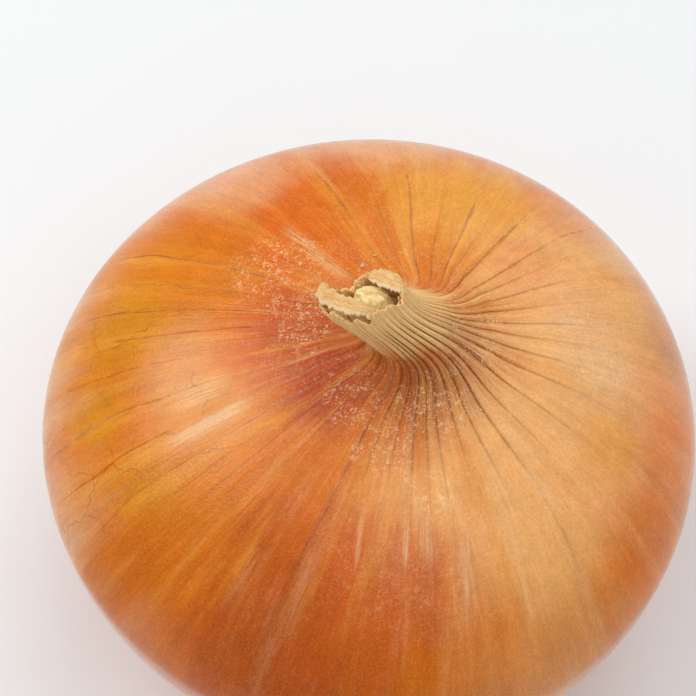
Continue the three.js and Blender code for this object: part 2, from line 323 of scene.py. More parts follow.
def joined(parts):
    """Several closed tubes as one list of points and one of faces."""
    points, faces, start = [], [], 0
    for rings in parts:
        more, sides = closed_tube(rings, start)
        points.append(more)
        faces += sides
        start += len(more)
    return np.vstack(points), faces


def give(obj, name, values, kind="FLOAT"):
    """Stores a number, or three, with each point of the mesh for its material to read."""
    attribute = obj.data.attributes.new(name, kind, "POINT")
    key = "value" if kind == "FLOAT" else "vector"
    attribute.data.foreach_set(key, np.asarray(values, np.float32).ravel())


# The skin: the bulb, the flare, the neck, the torn rim and the inside of the collar.

LOWER_RINGS, UPPER_RINGS, FLARE_RINGS, NECK_RINGS, INNER_RINGS = 34, 44, 34, 30, 12
lower = [body_ring(LOWER, t) for t in np.linspace(0, 1, LOWER_RINGS)]
upper = [body_ring(UPPER, t) for t in np.linspace(0, 1, UPPER_RINGS)[1:]]
flare = [body_ring(FLARE, t) for t in np.linspace(0, 1, FLARE_RINGS)[1:]]
neck = [neck_ring(share) for share in np.linspace(0, 1, NECK_RINGS)[1:]]
lip = [
    on_ring(rim_heights + 0.07, rim_radii - 0.3 * SKIN_WALL - 0.55 * pleat_sink(rim_radii, rim_heights), angles),
]
inside = [inner_ring(share) for share in np.linspace(0, 1, INNER_RINGS)]
skin_rings = np.array(lower + upper + flare + neck + lip + inside)
rim_ring = len(lower) + len(upper) + len(flare) + len(neck) - 1

# The box's middle is where the part stands, so the skin is moved there.
low_corner, high_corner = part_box("bulb")
box_middle = np.array((low_corner + high_corner) / 2) / MM
flat = skin_rings.reshape(-1, 3)
SHIFT = box_middle - (flat.min(0) + flat.max(0)) / 2
SHIFT[2] = 0.0


def ring_ends(grid):
    """One value for each point of the rings, with those of the two end points after them."""
    return np.append(grid.ravel(), [grid[0].mean(), grid[-1].mean()])


def skin_object():
    points, faces = closed_tube(skin_rings)
    obj = mesh_object("bulb_skin", points + SHIFT, faces)
    steps = np.linalg.norm(np.diff(skin_rings, axis=0), axis=-1)
    travelled = np.vstack([np.zeros((1, len(column))), np.cumsum(steps, axis=0)])
    from_rim = travelled[rim_ring] - travelled
    around = np.broadcast_to(angles, from_rim.shape)
    way = np.stack([ring_ends(np.cos(around)), ring_ends(np.sin(around)), ring_ends(from_rim)], axis=-1)
    way[-2:, :2] = 0
    give(obj, "way", way, "FLOAT_VECTOR")

    radii = np.linalg.norm(skin_rings - skin_rings.mean(axis=1, keepdims=True), axis=-1)[:, ::STEPS_PER_PLEAT]
    strength = np.zeros(radii.shape)
    for i, vein in enumerate(VEINS):
        amount, start, end = CLEAR_VEINS.get(int(vein), (0.1 + 0.2 * draw(31, i), 14, 42))
        clear = ease((radii[:, i] - start + 1.5) / 3) * ease((end + 4 - radii[:, i]) / 8)
        strength[:, i] = np.maximum(amount * clear, 0.12 * ease((radii[:, i] - 12) / 8))
    between = ease(place_in_pleat * 2 - 0.5)
    strength = lerp(strength[:, pleat], np.roll(strength, -1, axis=1)[:, pleat], between)
    give(obj, "vein_strength", ring_ends(strength))

    around_degrees = np.broadcast_to(degrees, from_rim.shape)
    ragged = 2.6 * waver(turns * 1.3, 0.5, 41, PLEATS * 1.3) + 1.2 * waver(turns * 4, 0.5, 42, PLEATS * 4)
    end = 9.2 + 2.4 * nearness(around_degrees, -20, 80) + ragged
    give(obj, "dry", ring_ends(ease((end + 2.2 - from_rim) / 4.4)))
    front = nearness(around_degrees, -40, 120)
    grooves = ease((from_rim - 1) / 6) * ease((34 - from_rim) / 16) * (0.25 + 0.75 * front)
    give(obj, "grooves", ring_ends(grooves))
    side = nearness(around_degrees, -15, 80)
    give(obj, "ridges", ring_ends(side * ease((from_rim - 8) / 6) * ease((28 - from_rim) / 12)))

    turn_mm = np.linalg.norm(np.roll(skin_rings, -1, axis=1) - skin_rings, axis=-1) * STEPS_PER_PLEAT
    turn_mm = (turn_mm + np.roll(turn_mm, 1, axis=1)) / 2
    spacing = ring_ends(turn_mm)
    corner_turns(obj, spacing)
    return obj


def corner_turns(obj, spacing):
    """Stores each face corner's place in veins round the bulb, and the millimetres between two veins there."""
    count = len(column)
    loops = np.zeros(len(obj.data.loops), int)
    obj.data.loops.foreach_get("vertex_index", loops)
    starts = np.zeros(len(obj.data.polygons), int)
    totals = np.zeros(len(obj.data.polygons), int)
    obj.data.polygons.foreach_get("loop_start", starts)
    obj.data.polygons.foreach_get("loop_total", totals)
    own = np.where(loops < count * len(skin_rings), turns[loops % count], np.nan)
    for start, total in zip(starts, totals):
        face = own[start:start + total]
        if np.nanmax(face) - np.nanmin(face) > PLEATS / 2:
            face[face < PLEATS / 2] += PLEATS
        face[np.isnan(face)] = np.nanmean(face)
    values = np.stack([own, spacing[loops], np.zeros(len(loops))], axis=-1)
    attribute = obj.data.attributes.new("veins", "FLOAT_VECTOR", "CORNER")
    attribute.data.foreach_set("vector", values.astype(np.float32).ravel())


# Torn pieces of skin: how thin their edges are, and a distance from the edge at which nothing of it shows.
HALF_EDGE = 0.12
FAR_FROM_EDGE = 9.0


def sheet_rings(first_edge, second_edge, thickness, arch, stations, seed, fray, ribs):
    """A torn sheet between two edges: arched, ribbed along its length, thin at its ragged edges."""
    t = np.linspace(0, 1, stations)
    a, b = through(first_edge, t), through(second_edge, t)
    tangent = unit(np.gradient(a + b, axis=0))
    width = b - a
    out = unit(np.cross(tangent, width))
    share = np.linspace(0, 1, 13)
    a = a - unit(width) * (fray * (waver(t * 22, 0.5, seed) + 0.6 * waver(t * 47, 0.5, seed + 4)))[:, None]
    b = b + unit(width) * (fray * waver(t * 19, 0.5, seed + 1))[:, None]
    grid = lerp(a[:, None], b[:, None], share[None, :, None])
    rise = arch * 4 * share * (1 - share)
    rise = rise + 0.12 * waver(t[:, None] * 3, share[None] * 2.5, seed + 2)
    rise = rise + 0.09 * np.cos(TURN * ribs * share + 2 * waver(t[:, None] * 2, 0.5, seed + 3))
    grid = grid + out[:, None] * rise[..., None]
    half = (HALF_EDGE + (thickness / 2 - HALF_EDGE) * np.sqrt(4 * share * (1 - share)))[None, :, None]
    ends = np.minimum(1, 0.35 + 6 * np.minimum(t, 1 - t))[:, None, None]
    lift = out[:, None] * half * ends
    return np.concatenate([grid - lift, (grid + lift)[:, ::-1]], axis=1)


def torn_ways(rings, looped):
    """Millimetres along the fibres, across them and from the free edge, for each point of a torn piece."""
    rings = np.asarray(rings)
    along_rings = np.linalg.norm(np.diff(rings, axis=0), axis=-1).mean(1)
    along_rings = np.concatenate([[0], np.cumsum(along_rings)])
    round_ring = np.linalg.norm(np.diff(rings, axis=1), axis=-1).mean(0)
    round_ring = np.concatenate([[0], np.cumsum(round_ring)])
    first, second = np.meshgrid(along_rings, round_ring, indexing="ij")
    if looped:
        first = np.minimum(first, first.max() - first)
        edge = np.full(second.shape, FAR_FROM_EDGE)
    else:
        edge = np.minimum(second, second.max() - second)
    ways = np.stack([first.ravel(), second.ravel(), edge.ravel()], axis=-1)
    return ways if looped else np.vstack([ways, ways[:1], ways[-1:]])


def strap_rings():
    front = [
        over_rim(-5.7, -0.3, 0.6), over_rim(-4.6, -2.1, 0.4), over_rim(-3.2, -3.4, 0.3),
        over_rim(-1.6, -4.5, 0.2), over_rim(0.0, -5.0, 0.0), over_rim(1.4, -4.6, -0.8),
    ]
    back = [
        over_rim(-4.8, 1.7, 1.4), over_rim(-3.4, 0.1, 1.3), over_rim(-2.1, -1.4, 1.2),
        over_rim(-0.6, -2.6, 1.0), over_rim(0.9, -3.3, 0.5), over_rim(2.3, -3.5, -0.6),
    ]
    return sheet_rings(front, back, 0.7, 0.2, 90, 51, 0.3, 5)


def flap_rings():
    free = [
        over_rim(0.9, 3.6, 0.3), over_rim(1.5, 2.2, 0.5), over_rim(2.5, 0.9, 0.55),
        over_rim(3.7, 0.2, 0.5), over_rim(4.8, -0.1, 0.2), over_rim(5.3, -0.4, -0.2),
    ]
    fold = [
        over_rim(0.9, 5.4, -0.2), over_rim(1.5, 5.3, 0.4), over_rim(2.8, 5.0, 0.7),
        over_rim(4.1, 4.0, 0.7), over_rim(5.1, 2.2, 0.6), over_rim(5.6, 0.6, -0.1),
    ]
    return sheet_rings(free, fold, 0.4, 0.22, 72, 61, 0.38, 3)


# The dry ends of the inner leaves.
CORE_RADIUS = 2.35
CORE_COLUMNS = 120
CORE_RINGS = 34
# Below the rim's plane, share of the radius, depth of the folds, and the ring's shift to either side.
CORE_PROFILE = [
    (3.9, 0.8, 0.0, 0.3, 0.2), (3.0, 0.93, 0.04, 0.6, 0.4), (2.1, 1.0, 0.06, 0.8, 0.5), (1.2, 1.0, 0.08, 0.9, 0.6),
    (0.5, 0.9, 0.08, 0.9, 0.7), (0.0, 0.62, 0.06, 0.8, 0.8), (-0.2, 0.1, 0.0, 0.7, 0.8),
]


def core_rings():
    angle = np.linspace(0, TURN, CORE_COLUMNS, endpoint=False)
    folds = np.abs(np.sin(5 * angle + 0.4 * np.sin(3 * angle)))
    rings = []
    for depth, share, fold, x, y in through(CORE_PROFILE, np.linspace(0, 1, CORE_RINGS)):
        centre, across, along, facing = ring_frame(RIM - depth)
        radius = share * CORE_RADIUS * (1 - fold * folds)
        radius = radius + 0.06 * waver(angle / TURN * 30, depth * 2, 71, 30)
        radius = radius - 0.8 * nearness(np.degrees(angle), 205, 40) * ease(1 - abs(depth - 0.4) / 0.8)
        ring = centre + x * across + y * along
        ring = ring + np.outer(radius * np.cos(angle), across) + np.outer(1.1 * radius * np.sin(angle), along)
        rings.append(ring)
    return rings


# The second, thinner layer inside the collar.
LINING_WALL = 0.22
LINING_GAP = 0.72
LINING_FOOT_RADIUS = NECK_RADIUS - 1.35
LINING_FOOT = RIM - 3.6


def lining_rings():
    edge = rim_heights - 0.15 + tears(25, 0.9) - 0.5 * nearness(degrees, -120, 60)
    outer, inner = [], []
    for share in np.linspace(0, 1, 9):
        radius = lerp(LINING_FOOT_RADIUS, rim_radii - LINING_GAP, share**0.7)
        s = lerp(LINING_FOOT, edge, share)
        wrinkle = 0.1 * waver(turns * 1.5, share * 2, 27, PLEATS * 1.5) * share
        outer.append(on_ring(s, radius + wrinkle, angles))
        inner.append(on_ring(s - 0.05, radius + wrinkle - LINING_WALL, angles))
    return outer + inner[::-1]


# The roots and their plate.
ROOT_COUNT = 32
ROOT_SEED = 11
ROOT_STATIONS = 16
ROOT_SIDES = 10
ROOT_LOWEST = 0.02
PLATE_COLUMNS = 96
PLATE_TOP = 2.5


def root_rings(k):
    angle = TURN * (k + 0.7 * draw(ROOT_SEED, k)) / ROOT_COUNT
    reach = 12.5 + 6 * draw(ROOT_SEED, 100 + k)
    swerve = 0.5 * (draw(ROOT_SEED, 200 + k) - 0.5)
    thick = 0.42 + 0.16 * draw(ROOT_SEED, 300 + k)
    start = 1.0 + 0.7 * (k % 2)

    def at(radius, turn, z):
        return (radius * math.cos(angle + turn), radius * math.sin(angle + turn), z)

    path = [
        at(6, 0, start),
        at(9.2, 0, start + 0.1),
        at(0.5 * (9.2 + reach), 0.4 * swerve, 0.5 * start + 0.55),
        at(reach, swerve, 0.45),
    ]
    t = np.linspace(0, 1, ROOT_STATIONS)
    line = through(path, t)
    line[:, :2] += (0.18 * waver(t * 5, k, 81) * t)[:, None] * np.array([-math.sin(angle), math.cos(angle)])
    tangent = unit(np.gradient(line, axis=0))
    across = unit(np.cross(UP, tangent))
    out = np.cross(tangent, across)
    around = np.linspace(0, TURN, ROOT_SIDES, endpoint=False)
    radius = thick * (1 - 0.5 * t) * (1 + 0.14 * waver(t * 9, k + 0.5, 82))
    rings = line[:, None] + radius[:, None, None] * (
        np.cos(around)[None, :, None] * across[:, None] + np.sin(around)[None, :, None] * out[:, None]
    )
    rings[..., 2] = np.maximum(rings[..., 2], ROOT_LOWEST)
    return rings


def plate_rings():
    around = np.linspace(0, TURN, PLATE_COLUMNS, endpoint=False)
    outline = [
        (2.0, 0.0), (5.0, 0.0), (7.6, 0.0), (8.3, 0.2), (8.6, 0.7), (8.8, 1.3), (8.9, 2.0), (8.5, PLATE_TOP),
        (5.0, PLATE_TOP),
    ]
    rings = []
    for radius, z in outline:
        wobble = 0.16 * waver(around / TURN * 36, z * 2, 83, 36) * ease(radius / 8)
        height = np.full_like(around, z)
        rings.append(np.stack([(radius + wobble) * np.cos(around), (radius + wobble) * np.sin(around), height], -1))
    return rings


# Crumbs of skin that lie on the onion round its neck: place and longest side of the large ones, and for each patch
# of small ones its place, how far it reaches and how many there are.
LARGE_CRUMBS = [(-1.3, 13.2, 1.2), (0.4, 14.9, 0.9), (-9.4, 5.4, 0.8), (-10.6, 4.2, 0.7), (2.4, -14.6, 0.9)]
CRUMB_PATCHES = [
    (-9.5, 14.5, 6.5, 30), (-9.5, 5.2, 4.2, 46), (-2.0, -7.4, 3.0, 26), (3.4, -12.6, 5.0, 34), (6, -6, 9, 24),
]
CRUMB_SIDES = 9


def crumb_rings(centre, normal, size, seed):
    """A curled flake with ragged edges, lying on the skin."""
    side = unit(np.cross(normal, np.array([math.cos(seed), math.sin(seed), 0.3])))
    other = np.cross(normal, side)
    around = np.linspace(0, TURN, CRUMB_SIDES, endpoint=False)
    radius = size / 2 * (0.75 + 0.35 * waver(around / TURN * CRUMB_SIDES, seed, 91, CRUMB_SIDES))
    x, y = radius * np.cos(around), 0.6 * radius * np.sin(around)
    curl = 0.25 * x * x / size
    rings = []
    for share, lift in ((0.35, 0.0), (1.0, 0.02), (1.0, 0.09), (0.4, 0.13)):
        ring = centre + np.outer(share * x, side) + np.outer(share * y, other)
        rings.append(ring + np.outer(lift * min(size, 0.9) + curl * share + 0.02, normal))
    return rings


def crumb_parts():
    grid = skin_rings[len(lower):rim_ring - len(neck)]
    upper_skin = grid.reshape(-1, 3)
    du = np.roll(grid, -1, axis=1) - grid
    dv = np.gradient(grid, axis=0)
    normals = unit(np.cross(du, dv)).reshape(-1, 3)
    places = list(LARGE_CRUMBS)
    for i, (x, y, spread, count) in enumerate(CRUMB_PATCHES):
        for k in range(count):
            turn, reach = TURN * draw(101 + i, k), spread * math.sqrt(draw(111 + i, k))
            size = 0.22 + 0.38 * draw(121 + i, k) ** 2
            places.append((x + reach * math.cos(turn), y + reach * math.sin(turn), size))
    parts = []
    for k, (x, y, size) in enumerate(places):
        nearest = np.argmin((upper_skin[:, 0] - x) ** 2 + (upper_skin[:, 1] - y) ** 2)
        parts.append(crumb_rings(upper_skin[nearest], normals[nearest], size, 1.7 * k))
    return parts


# Materials.

def paint(red, green, blue):
    """A colour given as on a screen, from 0 to 255, as light."""
    channels = np.array([red, green, blue]) / 255
    linear = np.where(channels <= 0.04045, channels / 12.92, ((channels + 0.055) / 1.055) ** 2.4)
    return (*linear, 1.0)


AMBER = paint(220, 126, 0)
ORANGE = paint(222, 98, 6)
DEEP = paint(194, 84, 0)
RED = paint(180, 60, 0)
TAN = paint(246, 178, 104)
ROSE = paint(244, 164, 112)
PALE = paint(240, 190, 136)
HONEY = paint(238, 160, 54)
BROWN = paint(196, 100, 38)
STRAW = paint(255, 222, 154)
DARK_STRAW = paint(232, 174, 104)
CREASE = paint(120, 52, 8)
VEIN = paint(120, 76, 56)
RED_VEIN = paint(158, 56, 12)
CREAM = paint(250, 216, 166)
EDGE_PALE_AND_HIGHLIGHT = paint(255, 234, 194)
# The colour of the painted sheen at the outline.
SHEEN_PALE = paint(246, 208, 170)
RUST = paint(176, 74, 4)
GOLD = paint(214, 140, 0)
DARK_RED = paint(140, 50, 8)
SALMON = paint(236, 166, 112)
FLAME = paint(242, 124, 8)
TORN_LIGHT, TORN_DARK = paint(246, 208, 142), paint(226, 168, 98)
LEAF_LIGHT, LEAF_DARK = paint(255, 236, 170), paint(240, 206, 134)
ROOT_LIGHT, ROOT_DARK, ROOT_SHADOW = paint(178, 140, 92), paint(120, 86, 52), paint(70, 48, 30)
CRUMB_LIGHT, CRUMB_DARK, CRUMB_SHADOW = paint(238, 196, 142), paint(222, 160, 98), paint(204, 132, 76)
TABLE_COOL, TABLE_PALE = paint(246, 249, 250), paint(249, 252, 253)

# Where the skin's colour changes: colour, place on the skin, how far it reaches and how much of it there is. Some
# patches are painted highlight, reflection and shade, as marked.
PATCHES = [
    (AMBER, (-36, 10, 50), 24, 1.0),
    (AMBER, (-30, -20, 50), 20, 0.9),
    (HONEY, (14, 26, 57), 20, 0.9),
    (TAN, (30, 10, 56), 26, 1.0),
    (TAN, (22, -14, 58), 24, 0.9),
    (ROSE, (40, -6, 48), 22, 0.7),
    (ORANGE, (27, 28, 53), 9, 0.5),
    (ORANGE, (20, 15, 59), 7, 0.35),
    (HONEY, (8, 25, 58), 9, 0.6),
    (SALMON, (29, 9, 57), 9, 0.6),
    (PALE, (30, 2, 57), 8, 0.5),
    (PALE, (31, -5, 56), 12, 0.35),
    (HONEY, (32, -9, 55), 8, 0.6),
    (RUST, (40, 10, 48), 9, 0.3),
    (TAN, (6, -20, 60), 12, 0.5),
    (ORANGE, (-14, 20, 58), 20, 0.9),
    (AMBER, (-26, 14, 55), 17, 0.7),
    (SALMON, (-18, 31, 53), 10, 0.75),
    (GOLD, (-33, 8, 52), 9, 0.6),
    (GOLD, (-36, -4, 50), 7, 0.5),
    (GOLD, (-28, -16, 54), 8, 0.45),
    (DEEP, (-6, -34, 52), 22, 0.9),
    (ORANGE, (2, -29, 56), 12, 0.6),
    (DEEP, (5, -29, 55), 12, 0.5),
    (FLAME, (41, -6, 47), 11, 0.6),
    (FLAME, (37, -20, 47), 11, 0.7),
    (FLAME, (33, -29, 47), 9, 0.5),
    (DEEP, (-24, -30, 48), 20, 0.6),
    (RUST, (-14, -35, 50), 17, 0.6),
    (RUST, (36, -20, 48), 9, 0.3),
    (RUST, (30, -32, 45), 12, 0.45),
    (RUST, (20, -41, 42), 10, 0.4),
    (TAN, (26, -34, 46), 20, 0.45),
    # Painted reflection: the two pale patches next, at the upper and the right rim.
    (PALE, (4, 42, 46), 18, 0.4),
    (PALE, (36, 22, 48), 16, 0.3),
    (HONEY, (-21, -6, 58), 12, 0.45),
    # Painted highlight: the pale patch next, on the left.
    (PALE, (-25, 0, 57), 9, 0.25),
    (ORANGE, (-15, 1, 61), 9, 0.6),
    # The red, crease, brown and dark red patches next, round the neck's foot, are partly the skin's own dark red-brown
    # and partly painted shade in the hollow under the neck.
    (RED, (-9, 3, 62), 12, 0.65),
    (RED, (-5, -4, 62), 9, 0.95),
    (CREASE, (1, -4, 65), 6, 0.2),
    (BROWN, (5, -8, 63), 10, 0.65),
    (DARK_RED, (6, -6, 64), 6, 0.4),
    (BROWN, (11, -2, 63), 7, 0.5),
]

# Where pale dust clings to the skin: place and how far it reaches.
DUST = [
    ((-11, 14, 60), 9.5), ((-9.5, 5, 61), 6), ((-2, -7, 62), 5), ((2, -13, 61), 6), ((14, 3, 63), 6), ((8, -8, 63), 7),
    ((28, 10, 57), 5), ((30, 1, 57), 5), ((7, -19, 59), 5),
]

# Pale streaks along the skin: ends on the ground plan, half width and strength.
STREAKS = [
    ((5, -20.5), (5, -27), 0.6, 0.6), ((10.1, -16), (12.8, -23.4), 0.5, 0.5), ((12.8, -23.4), (13, -32), 0.5, 0.55),
    ((15.6, -15.6), (19, -24), 0.5, 0.45), ((19, -24), (22.5, -36), 0.55, 0.55), ((-0.7, -21.8), (-1.2, -27), 0.5, 0.4),
    ((35, -11), (39.5, -15.3), 0.9, 0.5), ((20, -14), (24, -18), 1.2, 0.5), ((9.5, -4), (26, 9), 0.5, 0.2),
    # Painted highlight: the second and the third streak on the next line, the widest on the left.
    ((-11.4, 20.5), (-3.2, 11.4), 1.3, 0.5), ((-26, -10.6), (-16, -6.0), 2.0, 0.6), ((-25, -5), (-19, -2.5), 2.6, 0.5),
    ((-11, -38), (-7, -27), 1.4, 0.16), ((-19, -34), (-14, -25), 1.6, 0.14), ((8, -26), (6, -17), 1.6, 0.4),
    ((22, -13), (17, -8), 1.8, 0.4), ((14, -32), (12, -24), 1.3, 0.3), ((34, 8), (24, 7), 2.4, 0.4),
]


class Painter:
    """Builds a material's nodes so that its formula reads from top to bottom."""

    def __init__(self, name):
        self.material = bpy.data.materials.new(name)
        self.material.use_nodes = True
        self.tree = self.material.node_tree
        self.tree.nodes.clear()

    def node(self, kind, inputs=(), **settings):
        node = self.tree.nodes.new(kind)
        for key, value in settings.items():
            setattr(node, key, value)
        for key, value in dict(inputs).items():
            if isinstance(value, bpy.types.NodeSocket):
                self.tree.links.new(value, node.inputs[key])
            else:
                node.inputs[key].default_value = value
        return node

    def maths(self, operation, *values, clamp=False):
        return self.node("ShaderNodeMath", enumerate(values), operation=operation, use_clamp=clamp).outputs[0]

    def times(self, *values):
        result = values[0]
        for value in values[1:]:
            result = self.maths("MULTIPLY", result, value)
        return result

    def steps(self, vector, sizes):
        return self.node("ShaderNodeVectorMath", {0: vector, 1: sizes}, operation="MULTIPLY").outputs[0]

    def noise(self, vector, detail, rough):
        inputs = {"Vector": vector, "Scale": 1.0, "Detail": detail, "Roughness": rough}
        return self.node("ShaderNodeTexNoise", inputs).outputs["Fac"]

    def slope(self, value, start, end):
        """0 up to the start, 1 from the end on, eased between. The start may be the larger."""
        flip = start > end
        low, high = (end, start) if flip else (start, end)
        inputs = {"Value": value, "From Min": low, "From Max": high}
        result = self.node("ShaderNodeMapRange", inputs, interpolation_type="SMOOTHSTEP").outputs[0]
        return self.maths("SUBTRACT", 1.0, result) if flip else result

    def mix(self, share, first, second, kind="MIX"):
        inputs = {"Fac": share, "Color1": first, "Color2": second}
        return self.node("ShaderNodeMixRGB", inputs, blend_type=kind).outputs[0]

    def gain(self, colour, amount):
        """The colour made lighter or darker."""
        return self.node("ShaderNodeVectorMath", {0: colour, "Scale": amount}, operation="SCALE").outputs[0]

    def stored(self, name, output="Fac"):
        return self.node("ShaderNodeAttribute", attribute_name=name).outputs[output]

    def place(self):
        """Where the point is, in millimetres."""
        found = self.node("ShaderNodeTexCoord").outputs["Object"]
        return self.steps(found, (1 / MM, 1 / MM, 1 / MM))

    def parts(self, vector):
        return self.node("ShaderNodeSeparateXYZ", {0: vector}).outputs

    def apart(self, vector, point):
        return self.node("ShaderNodeVectorMath", {0: vector, 1: point}, operation="DISTANCE").outputs["Value"]

    def bump(self, height, distance, strength):
        inputs = {"Height": height, "Distance": distance * MM, "Strength": strength}
        return self.node("ShaderNodeBump", inputs).outputs[0]

    def finish(self, **inputs):
        shader = self.node("ShaderNodeBsdfPrincipled", {key.replace("_", " "): v for key, v in inputs.items()})
        self.node("ShaderNodeOutputMaterial", {"Surface": shader.outputs[0]})
        return self.material


def skin_material():
    p = Painter("onion_skin")
    place = p.place()
    way = p.stored("way", "Vector")
    turn, spacing, _ = p.parts(p.stored("veins", "Vector"))
    dry, grooves, ridges, strength = [p.stored(name) for name in ("dry", "grooves", "ridges", "vein_strength")]
    x, y, z = p.parts(place)
    from_rim = p.parts(way)[2]

    broad = p.noise(p.steps(way, (7, 7, 0.02)), 2, 0.5)
    streak = p.noise(p.steps(way, (24, 24, 0.035)), 3, 0.55)
    fibre = p.noise(p.steps(way, (80, 80, 0.09)), 2, 0.6)
    cloud = p.noise(p.steps(place, (0.07, 0.07, 0.07)), 3, 0.55)
    blotch = p.noise(p.steps(place, (0.25, 0.25, 0.25)), 4, 0.65)
    grain = p.noise(p.steps(place, (2.4, 2.4, 2.4)), 2, 0.6)

    # The bulb's colour, patch by patch, with streaky borders.
    stray = p.maths("MULTIPLY_ADD", p.maths("ADD", broad, cloud), 22.0, -22.0)
    colour = p.mix(cloud, ORANGE, AMBER)
    for tint, centre, reach, amount in PATCHES:
        apart = p.maths("ADD", p.apart(place, centre), stray if reach > 12 else p.times(stray, 0.3))
        colour = p.mix(p.times(p.slope(apart, reach, reach * 0.25), amount), colour, tint)
    honeyed = p.noise(p.steps(way, (10, 10, 0.04)), 3, 0.6)
    colour = p.mix(p.times(p.slope(honeyed, 0.48, 0.68), p.slope(x, 30, 14), p.slope(y, -40, -24), 0.42), colour, HONEY)
    frosted = p.noise(p.steps(way, (12, 12, 0.05)), 4, 0.7)
    frost = p.times(p.slope(frosted, 0.46, 0.74), p.maths("MULTIPLY_ADD", grain, 0.8, 0.2), p.slope(x, -30, -8))
    colour = p.mix(p.times(frost, 0.38), colour, PALE)

    # A faint pale ring round the widest part is painted sheen, strongest at the upper left, weak at the right and gone
    # in front.
    sheen_side = p.times(p.slope(y, -40, -20), p.maths("MULTIPLY_ADD", p.slope(x, 22, 36), -0.45, 1.0))
    sheen_side = p.times(sheen_side, p.maths("MULTIPLY_ADD", p.times(p.slope(x, 20, 32), p.slope(y, 22, 4)), -0.9, 1.0))
    sheen_side = p.times(sheen_side, p.maths("MULTIPLY_ADD", p.times(p.slope(x, 4, -14), p.slope(y, 14, 28)), 0.35, 1.0))
    height = p.maths("MULTIPLY_ADD", streak, 8.0, p.maths("MULTIPLY_ADD", cloud, 10.0, z))
    painted_sheen = p.times(p.slope(height, 62, 51), p.slope(height, 38, 50), p.slope(broad, 0.3, 0.6), 0.4)
    colour = p.mix(p.times(painted_sheen, sheen_side), colour, SHEEN_PALE)
    colour = p.gain(colour, p.maths("MULTIPLY_ADD", streak, 0.32, 0.84))
    colour = p.gain(colour, p.maths("MULTIPLY_ADD", blotch, 0.3, 0.85))

    # Veins: lines along the skin where it is gathered, wandering a little and fading towards the equator.
    sway = p.maths("MULTIPLY_ADD", p.noise(p.steps(way, (4, 4, 0.05)), 2, 0.5), 0.5, -0.25)
    jitter = p.maths("MULTIPLY_ADD", p.noise(p.steps(place, (0.5, 0.5, 0.5)), 1, 0.5), 0.5, -0.25)
    swayed = p.maths("ADD", turn, p.times(sway, p.slope(from_rim, 14, 40)))
    off = p.maths("ABSOLUTE", p.maths("SUBTRACT", p.maths("FRACT", p.maths("ADD", swayed, 0.5)), 0.5))
    vein_mm = p.maths("ABSOLUTE", p.maths("ADD", p.times(off, spacing), jitter))
    left = p.slope(p.apart(place, (-40, 0, 46)), 40, 22)
    width = p.maths("MULTIPLY_ADD", left, -0.08, 0.3)
    inputs = {"Value": vein_mm, "From Min": 0.0, "From Max": width}
    beside = p.node("ShaderNodeMapRange", inputs, interpolation_type="SMOOTHSTEP").outputs[0]
    line = p.maths("SUBTRACT", 1.0, beside)
    broken = p.slope(p.noise(p.steps(way, (30, 30, 0.12)), 2, 0.5), 0.25, 0.55)
    high = p.maths("MAXIMUM", p.times(left, p.slope(z, 40, 44)), p.slope(z, 46, 52))
    line = p.times(line, strength, broken, high, p.maths("SUBTRACT", 1.0, dry))
    vein_tint = p.mix(left, p.mix(0.55, p.mix(1.0, colour, VEIN, "MULTIPLY"), VEIN), RED_VEIN)
    colour = p.mix(p.times(line, p.maths("MULTIPLY_ADD", left, 0.25, 0.42)), colour, vein_tint)

    # Fine cross cracks between the veins on the left.
    spread = p.node("ShaderNodeCombineXYZ", {0: p.times(turn, 0.75), 1: p.times(from_rim, 0.11)}).outputs[0]
    wander = p.node("ShaderNodeTexNoise", {"Vector": place, "Scale": 0.3}).outputs["Color"]
    bent = p.node("ShaderNodeVectorMath", {0: spread, 1: p.steps(wander, (0.5, 0.5, 0.0))}, operation="ADD").outputs[0]
    cells = p.node(
        "ShaderNodeTexVoronoi", {"Vector": bent, "Scale": 1.0}, voronoi_dimensions="2D", feature="DISTANCE_TO_EDGE",
    )
    crack = p.slope(cells.outputs["Distance"], 0.022, 0.003)
    patchy = p.slope(p.noise(p.steps(place, (0.09, 0.09, 0.09)), 1, 0.5), 0.42, 0.6)
    colour = p.mix(p.times(crack, left, patchy, 0.4), colour, RED_VEIN)

    # Pale streaks; the two wide ones on the left are a painted highlight.
    for start, end, half, amount in STREAKS:
        run = np.array(end) - np.array(start)
        length = float(np.linalg.norm(run))
        run = run / length
        dx, dy = p.maths("SUBTRACT", x, start[0]), p.maths("SUBTRACT", y, start[1])
        along = p.maths("ADD", p.times(dx, float(run[0])), p.times(dy, float(run[1])))
        aside = p.maths("ABSOLUTE", p.maths("SUBTRACT", p.times(dx, float(run[1])), p.times(dy, float(run[0]))))
        within = p.times(p.slope(along, -2.0, 2.0), p.slope(along, length + 2, length - 2))
        above = p.slope(z, 50, 54)
        streaked = p.times(within, above, p.slope(aside, half, 0.0), p.slope(fibre, 0.3, 0.6), amount * 1.4)
        colour = p.mix(streaked, colour, PALE)

    # The dry neck, and the ridges that run from it into the bulb.
    fibres = p.mix(p.slope(fibre, 0.3, 0.7), DARK_STRAW, STRAW)
    fibres = p.mix(p.times(p.slope(from_rim, 2, 13), 0.6), fibres, p.mix(0.5, DARK_STRAW, TAN))
    colour = p.mix(dry, colour, fibres)
    crease_off = p.maths("ABSOLUTE", p.maths("SUBTRACT", p.maths("FRACT", p.maths("ADD", turn, 0.5)), 0.5))
    crease_mm = p.times(crease_off, spacing)
